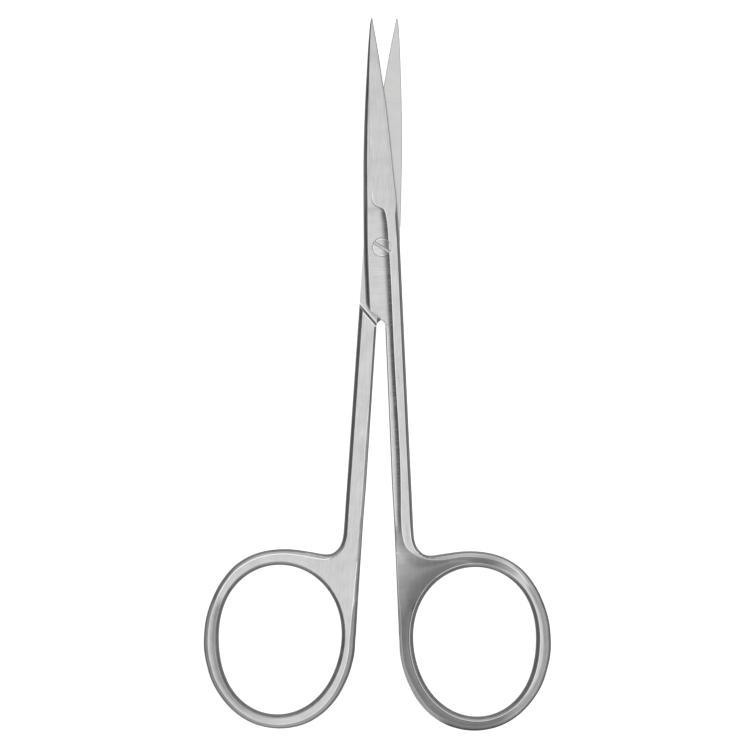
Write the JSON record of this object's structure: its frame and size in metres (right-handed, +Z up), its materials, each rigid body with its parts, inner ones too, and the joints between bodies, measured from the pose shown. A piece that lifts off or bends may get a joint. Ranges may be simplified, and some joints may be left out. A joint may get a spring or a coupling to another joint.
{
  "type": "fine scissors",
  "caption": "Slender straight ring-handled scissors with narrow pointed blades, lap joint and slotted pivot screw, all brushed stainless steel.",
  "frame": {"origin": "middle of the part's outline seen from above, on the plane that it rests on", "axes": "+Y along the scissors to the blade tips, +X to the right, +Z up from the table through the pivot's open side"},
  "size_m": [0.058, 0.1186, 0.0032],
  "materials": {
    "forging_front": "satin stainless steel, fine brushed grain along blades and shanks, cross-ground in the channel",
    "forging_rear": "satin stainless steel, fine brushed grain along blades and shanks",
    "screw": "stainless steel ground flush with the joint"
  },
  "bodies": {
    "rear": {"rear_half": "forging_rear", "pivot_screw": "screw"},
    "front": {"front_half": "forging_front"}
  },
  "joints": [
    {"name": "pivot", "type": "hinge", "parent": "rear", "child": "front", "pos_m": [0, 0.0211, 0.0016], "axis": [0, 0, 1], "range_deg": [-6, 75]}
  ]
}
